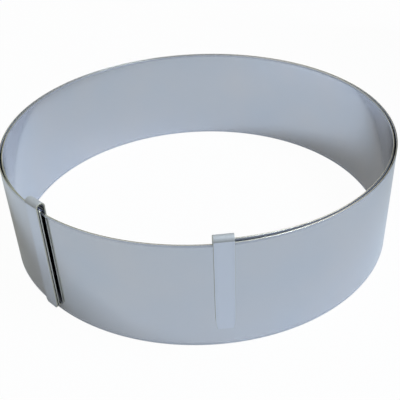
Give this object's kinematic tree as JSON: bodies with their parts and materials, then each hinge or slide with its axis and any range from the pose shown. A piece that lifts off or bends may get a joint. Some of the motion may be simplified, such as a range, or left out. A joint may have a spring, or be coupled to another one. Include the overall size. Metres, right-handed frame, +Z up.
{
  "type": "adjustable cake ring",
  "caption": "Adjustable round cake ring: a springy steel strip in two layers with a folded clip at each end that slides along it.",
  "frame": {"origin": "on the axis of the ring, at the level of the lowest point of the clips, on which the ring stands", "axes": "+Z up along the ring's axis; -Y towards the front, where the two clips are; +X to the right"},
  "size_m": [0.181, 0.1818, 0.0552],
  "materials": {
    "strip_steel": "bright cold-rolled stainless steel strip, smooth satin, faint rolling lines along its length",
    "clip_steel": "folded stainless steel sheet, satin, bright at the bends"
  },
  "bodies": {
    "stretch_01": {"strip_01": "strip_steel", "outer_end_clip": "clip_steel"},
    "stretch_02": {"strip_02": "strip_steel"},
    "stretch_03": {"strip_03": "strip_steel"},
    "stretch_04": {"strip_04": "strip_steel"},
    "stretch_05": {"strip_05": "strip_steel"},
    "stretch_06": {"strip_06": "strip_steel"},
    "stretch_07": {"strip_07": "strip_steel"},
    "stretch_08": {"strip_08": "strip_steel"},
    "stretch_09": {"strip_09": "strip_steel"},
    "stretch_10": {"strip_10": "strip_steel"},
    "stretch_11": {"strip_11": "strip_steel"},
    "stretch_12": {"strip_12": "strip_steel"},
    "stretch_13": {"strip_13": "strip_steel"},
    "stretch_14": {"strip_14": "strip_steel"},
    "stretch_15": {"strip_15": "strip_steel"},
    "stretch_16": {"strip_16": "strip_steel"},
    "stretch_17": {"strip_17": "strip_steel"},
    "stretch_18": {"strip_18": "strip_steel"},
    "stretch_19": {"strip_19": "strip_steel"},
    "stretch_20": {"strip_20": "strip_steel"},
    "stretch_21": {"strip_21": "strip_steel"},
    "stretch_22": {"strip_22": "strip_steel"},
    "stretch_23": {"strip_23": "strip_steel"},
    "stretch_24": {"strip_24": "strip_steel"},
    "stretch_25": {"strip_25": "strip_steel"},
    "stretch_26": {"strip_26": "strip_steel"},
    "stretch_27": {"strip_27": "strip_steel"},
    "stretch_28": {"strip_28": "strip_steel"},
    "stretch_29": {"strip_29": "strip_steel"},
    "stretch_30": {"strip_30": "strip_steel"},
    "stretch_31": {"strip_31": "strip_steel"},
    "stretch_32": {"strip_32": "strip_steel"},
    "stretch_33": {"strip_33": "strip_steel"},
    "stretch_34": {"strip_34": "strip_steel"},
    "stretch_35": {"strip_35": "strip_steel"},
    "stretch_36": {"strip_36": "strip_steel"},
    "stretch_37": {"strip_37": "strip_steel"},
    "stretch_38": {"strip_38": "strip_steel"},
    "stretch_39": {"strip_39": "strip_steel"},
    "stretch_40": {"strip_40": "strip_steel"},
    "stretch_41": {"strip_41": "strip_steel"},
    "stretch_42": {"strip_42": "strip_steel"},
    "stretch_43": {"strip_43": "strip_steel"},
    "stretch_44": {"strip_44": "strip_steel"},
    "stretch_45": {"strip_45": "strip_steel"},
    "stretch_46": {"strip_46": "strip_steel"},
    "stretch_47": {"strip_47": "strip_steel"},
    "stretch_48": {"strip_48": "strip_steel"},
    "stretch_49": {"strip_49": "strip_steel", "inner_end_clip": "clip_steel"}
  },
  "joints": [
    {"name": "ring_opening", "type": "hinge", "parent": "stretch_25", "child": "stretch_26", "pos_m": [-0.04093, -0.0796, 0.02534], "axis": [0, 0, 1], "range_deg": [-0.9, 6.3]},
    {"name": "bend_27", "type": "hinge", "parent": "stretch_26", "child": "stretch_27", "pos_m": [-0.05868, -0.06752, 0.02534], "axis": [0, 0, 1], "range_deg": [-0.92, 6.32]},
    {"name": "bend_28", "type": "hinge", "parent": "stretch_27", "child": "stretch_28", "pos_m": [-0.07303, -0.05158, 0.02534], "axis": [0, 0, 1], "range_deg": [-0.92, 6.32]},
    {"name": "bend_29", "type": "hinge", "parent": "stretch_28", "child": "stretch_29", "pos_m": [-0.08316, -0.03269, 0.02534], "axis": [0, 0, 1], "range_deg": [-0.92, 6.33]},
    {"name": "bend_30", "type": "hinge", "parent": "stretch_29", "child": "stretch_30", "pos_m": [-0.08851, -0.01194, 0.02534], "axis": [0, 0, 1], "range_deg": [-0.92, 6.33]},
    {"name": "bend_31", "type": "hinge", "parent": "stretch_30", "child": "stretch_31", "pos_m": [-0.08875, 0.00948, 0.02534], "axis": [0, 0, 1], "range_deg": [-0.92, 6.33]},
    {"name": "bend_32", "type": "hinge", "parent": "stretch_31", "child": "stretch_32", "pos_m": [-0.0839, 0.03032, 0.02534], "axis": [0, 0, 1], "range_deg": [-0.92, 6.34]},
    {"name": "bend_33", "type": "hinge", "parent": "stretch_32", "child": "stretch_33", "pos_m": [-0.07422, 0.0494, 0.02534], "axis": [0, 0, 1], "range_deg": [-0.92, 6.34]},
    {"name": "bend_34", "type": "hinge", "parent": "stretch_33", "child": "stretch_34", "pos_m": [-0.06029, 0.06562, 0.02534], "axis": [0, 0, 1], "range_deg": [-0.92, 6.34]},
    {"name": "bend_35", "type": "hinge", "parent": "stretch_34", "child": "stretch_35", "pos_m": [-0.0429, 0.07804, 0.02534], "axis": [0, 0, 1], "range_deg": [-0.93, 6.35]},
    {"name": "bend_36", "type": "hinge", "parent": "stretch_35", "child": "stretch_36", "pos_m": [-0.02307, 0.08597, 0.02534], "axis": [0, 0, 1], "range_deg": [-0.93, 6.35]},
    {"name": "bend_37", "type": "hinge", "parent": "stretch_36", "child": "stretch_37", "pos_m": [-0.00193, 0.08894, 0.02534], "axis": [0, 0, 1], "range_deg": [-0.93, 6.35]},
    {"name": "bend_38", "type": "hinge", "parent": "stretch_37", "child": "stretch_38", "pos_m": [0.01929, 0.08679, 0.02534], "axis": [0, 0, 1], "range_deg": [-0.93, 6.35]},
    {"name": "bend_39", "type": "hinge", "parent": "stretch_38", "child": "stretch_39", "pos_m": [0.03938, 0.07966, 0.02534], "axis": [0, 0, 1], "range_deg": [-0.93, 6.36]},
    {"name": "bend_40", "type": "hinge", "parent": "stretch_39", "child": "stretch_40", "pos_m": [0.05719, 0.06795, 0.02534], "axis": [0, 0, 1], "range_deg": [-0.93, 6.36]},
    {"name": "bend_41", "type": "hinge", "parent": "stretch_40", "child": "stretch_41", "pos_m": [0.07168, 0.05235, 0.02534], "axis": [0, 0, 1], "range_deg": [-0.93, 6.36]},
    {"name": "bend_42", "type": "hinge", "parent": "stretch_41", "child": "stretch_42", "pos_m": [0.08204, 0.03375, 0.02534], "axis": [0, 0, 1], "range_deg": [-0.93, 6.37]},
    {"name": "bend_43", "type": "hinge", "parent": "stretch_42", "child": "stretch_43", "pos_m": [0.08767, 0.01324, 0.02534], "axis": [0, 0, 1], "range_deg": [-0.93, 6.37]},
    {"name": "bend_44", "type": "hinge", "parent": "stretch_43", "child": "stretch_44", "pos_m": [0.08825, -0.00802, 0.02534], "axis": [0, 0, 1], "range_deg": [-0.93, 6.37]},
    {"name": "bend_45", "type": "hinge", "parent": "stretch_44", "child": "stretch_45", "pos_m": [0.08375, -0.02878, 0.02534], "axis": [0, 0, 1], "range_deg": [-0.93, 6.38]},
    {"name": "bend_46", "type": "hinge", "parent": "stretch_45", "child": "stretch_46", "pos_m": [0.07445, -0.04787, 0.02534], "axis": [0, 0, 1], "range_deg": [-0.93, 6.38]},
    {"name": "bend_47", "type": "hinge", "parent": "stretch_46", "child": "stretch_47", "pos_m": [0.06087, -0.06419, 0.02534], "axis": [0, 0, 1], "range_deg": [-0.93, 6.38]},
    {"name": "bend_48", "type": "hinge", "parent": "stretch_47", "child": "stretch_48", "pos_m": [0.04381, -0.07679, 0.02534], "axis": [0, 0, 1], "range_deg": [-0.93, 6.39]},
    {"name": "bend_49", "type": "hinge", "parent": "stretch_48", "child": "stretch_49", "pos_m": [0.02425, -0.08497, 0.02534], "axis": [0, 0, 1], "range_deg": [-0.93, 6.39]},
    {"name": "bend_24", "type": "hinge", "parent": "stretch_25", "child": "stretch_24", "pos_m": [-0.02081, -0.0871, 0.02534], "axis": [0, 0, -1], "range_deg": [-0.92, 6.31]},
    {"name": "bend_23", "type": "hinge", "parent": "stretch_24", "child": "stretch_23", "pos_m": [0.00053, -0.0896, 0.02534], "axis": [0, 0, -1], "range_deg": [-0.92, 6.31]},
    {"name": "bend_22", "type": "hinge", "parent": "stretch_23", "child": "stretch_22", "pos_m": [0.02187, -0.08695, 0.02534], "axis": [0, 0, -1], "range_deg": [-0.92, 6.31]},
    {"name": "bend_21", "type": "hinge", "parent": "stretch_22", "child": "stretch_21", "pos_m": [0.04197, -0.07928, 0.02534], "axis": [0, 0, -1], "range_deg": [-0.92, 6.3]},
    {"name": "bend_20", "type": "hinge", "parent": "stretch_21", "child": "stretch_20", "pos_m": [0.05967, -0.06705, 0.02534], "axis": [0, 0, -1], "range_deg": [-0.92, 6.3]},
    {"name": "bend_19", "type": "hinge", "parent": "stretch_20", "child": "stretch_19", "pos_m": [0.07396, -0.05094, 0.02534], "axis": [0, 0, -1], "range_deg": [-0.92, 6.3]},
    {"name": "bend_18", "type": "hinge", "parent": "stretch_19", "child": "stretch_18", "pos_m": [0.08401, -0.03188, 0.02534], "axis": [0, 0, -1], "range_deg": [-0.92, 6.29]},
    {"name": "bend_17", "type": "hinge", "parent": "stretch_18", "child": "stretch_17", "pos_m": [0.08923, -0.01096, 0.02534], "axis": [0, 0, -1], "range_deg": [-0.92, 6.29]},
    {"name": "bend_16", "type": "hinge", "parent": "stretch_17", "child": "stretch_16", "pos_m": [0.08933, 0.01061, 0.02534], "axis": [0, 0, -1], "range_deg": [-0.92, 6.29]},
    {"name": "bend_15", "type": "hinge", "parent": "stretch_16", "child": "stretch_15", "pos_m": [0.08428, 0.0316, 0.02534], "axis": [0, 0, -1], "range_deg": [-0.92, 6.29]},
    {"name": "bend_14", "type": "hinge", "parent": "stretch_15", "child": "stretch_14", "pos_m": [0.07437, 0.05078, 0.02534], "axis": [0, 0, -1], "range_deg": [-0.92, 6.28]},
    {"name": "bend_13", "type": "hinge", "parent": "stretch_14", "child": "stretch_13", "pos_m": [0.06017, 0.06707, 0.02534], "axis": [0, 0, -1], "range_deg": [-0.92, 6.28]},
    {"name": "bend_12", "type": "hinge", "parent": "stretch_13", "child": "stretch_12", "pos_m": [0.04249, 0.07951, 0.02534], "axis": [0, 0, -1], "range_deg": [-0.92, 6.28]},
    {"name": "bend_11", "type": "hinge", "parent": "stretch_12", "child": "stretch_11", "pos_m": [0.02234, 0.08739, 0.02534], "axis": [0, 0, -1], "range_deg": [-0.91, 6.27]},
    {"name": "bend_10", "type": "hinge", "parent": "stretch_11", "child": "stretch_10", "pos_m": [0.00089, 0.09025, 0.02534], "axis": [0, 0, -1], "range_deg": [-0.91, 6.27]},
    {"name": "bend_09", "type": "hinge", "parent": "stretch_10", "child": "stretch_09", "pos_m": [-0.02064, 0.08791, 0.02534], "axis": [0, 0, -1], "range_deg": [-0.91, 6.27]},
    {"name": "bend_08", "type": "hinge", "parent": "stretch_09", "child": "stretch_08", "pos_m": [-0.041, 0.08051, 0.02534], "axis": [0, 0, -1], "range_deg": [-0.91, 6.26]},
    {"name": "bend_07", "type": "hinge", "parent": "stretch_08", "child": "stretch_07", "pos_m": [-0.05903, 0.06847, 0.02534], "axis": [0, 0, -1], "range_deg": [-0.91, 6.26]},
    {"name": "bend_06", "type": "hinge", "parent": "stretch_07", "child": "stretch_06", "pos_m": [-0.07368, 0.05247, 0.02534], "axis": [0, 0, -1], "range_deg": [-0.91, 6.26]},
    {"name": "bend_05", "type": "hinge", "parent": "stretch_06", "child": "stretch_05", "pos_m": [-0.0841, 0.03344, 0.02534], "axis": [0, 0, -1], "range_deg": [-0.91, 6.25]},
    {"name": "bend_04", "type": "hinge", "parent": "stretch_05", "child": "stretch_04", "pos_m": [-0.08969, 0.01246, 0.02534], "axis": [0, 0, -1], "range_deg": [-0.91, 6.25]},
    {"name": "bend_03", "type": "hinge", "parent": "stretch_04", "child": "stretch_03", "pos_m": [-0.09013, -0.00927, 0.02534], "axis": [0, 0, -1], "range_deg": [-0.91, 6.25]},
    {"name": "bend_02", "type": "hinge", "parent": "stretch_03", "child": "stretch_02", "pos_m": [-0.08537, -0.03048, 0.02534], "axis": [0, 0, -1], "range_deg": [-0.91, 6.24]},
    {"name": "bend_01", "type": "hinge", "parent": "stretch_02", "child": "stretch_01", "pos_m": [-0.0757, -0.04996, 0.02534], "axis": [0, 0, -1], "range_deg": [-0.91, 6.24]}
  ],
  "couplings": [
    {"joint": "bend_27", "follows": "ring_opening", "ratio": 1.0005},
    {"joint": "bend_28", "follows": "ring_opening", "ratio": 1.001},
    {"joint": "bend_29", "follows": "ring_opening", "ratio": 1.0015},
    {"joint": "bend_30", "follows": "ring_opening", "ratio": 1.002},
    {"joint": "bend_31", "follows": "ring_opening", "ratio": 1.0025},
    {"joint": "bend_32", "follows": "ring_opening", "ratio": 1.003},
    {"joint": "bend_33", "follows": "ring_opening", "ratio": 1.0035},
    {"joint": "bend_34", "follows": "ring_opening", "ratio": 1.004},
    {"joint": "bend_35", "follows": "ring_opening", "ratio": 1.0045},
    {"joint": "bend_36", "follows": "ring_opening", "ratio": 1.005},
    {"joint": "bend_37", "follows": "ring_opening", "ratio": 1.0055},
    {"joint": "bend_38", "follows": "ring_opening", "ratio": 1.006},
    {"joint": "bend_39", "follows": "ring_opening", "ratio": 1.0065},
    {"joint": "bend_40", "follows": "ring_opening", "ratio": 1.007},
    {"joint": "bend_41", "follows": "ring_opening", "ratio": 1.0075},
    {"joint": "bend_42", "follows": "ring_opening", "ratio": 1.008},
    {"joint": "bend_43", "follows": "ring_opening", "ratio": 1.0085},
    {"joint": "bend_44", "follows": "ring_opening", "ratio": 1.009},
    {"joint": "bend_45", "follows": "ring_opening", "ratio": 1.0095},
    {"joint": "bend_46", "follows": "ring_opening", "ratio": 1.01},
    {"joint": "bend_47", "follows": "ring_opening", "ratio": 1.0105},
    {"joint": "bend_48", "follows": "ring_opening", "ratio": 1.011},
    {"joint": "bend_49", "follows": "ring_opening", "ratio": 1.0114},
    {"joint": "bend_24", "follows": "ring_opening", "ratio": 0.9995},
    {"joint": "bend_23", "follows": "ring_opening", "ratio": 0.99901},
    {"joint": "bend_22", "follows": "ring_opening", "ratio": 0.99851},
    {"joint": "bend_21", "follows": "ring_opening", "ratio": 0.99801},
    {"joint": "bend_20", "follows": "ring_opening", "ratio": 0.99751},
    {"joint": "bend_19", "follows": "ring_opening", "ratio": 0.99701},
    {"joint": "bend_18", "follows": "ring_opening", "ratio": 0.99652},
    {"joint": "bend_17", "follows": "ring_opening", "ratio": 0.99602},
    {"joint": "bend_16", "follows": "ring_opening", "ratio": 0.99552},
    {"joint": "bend_15", "follows": "ring_opening", "ratio": 0.99502},
    {"joint": "bend_14", "follows": "ring_opening", "ratio": 0.99452},
    {"joint": "bend_13", "follows": "ring_opening", "ratio": 0.99403},
    {"joint": "bend_12", "follows": "ring_opening", "ratio": 0.99353},
    {"joint": "bend_11", "follows": "ring_opening", "ratio": 0.99303},
    {"joint": "bend_10", "follows": "ring_opening", "ratio": 0.99253},
    {"joint": "bend_09", "follows": "ring_opening", "ratio": 0.99204},
    {"joint": "bend_08", "follows": "ring_opening", "ratio": 0.99154},
    {"joint": "bend_07", "follows": "ring_opening", "ratio": 0.99104},
    {"joint": "bend_06", "follows": "ring_opening", "ratio": 0.99054},
    {"joint": "bend_05", "follows": "ring_opening", "ratio": 0.99004},
    {"joint": "bend_04", "follows": "ring_opening", "ratio": 0.98955},
    {"joint": "bend_03", "follows": "ring_opening", "ratio": 0.98905},
    {"joint": "bend_02", "follows": "ring_opening", "ratio": 0.98855},
    {"joint": "bend_01", "follows": "ring_opening", "ratio": 0.98805}
  ]
}
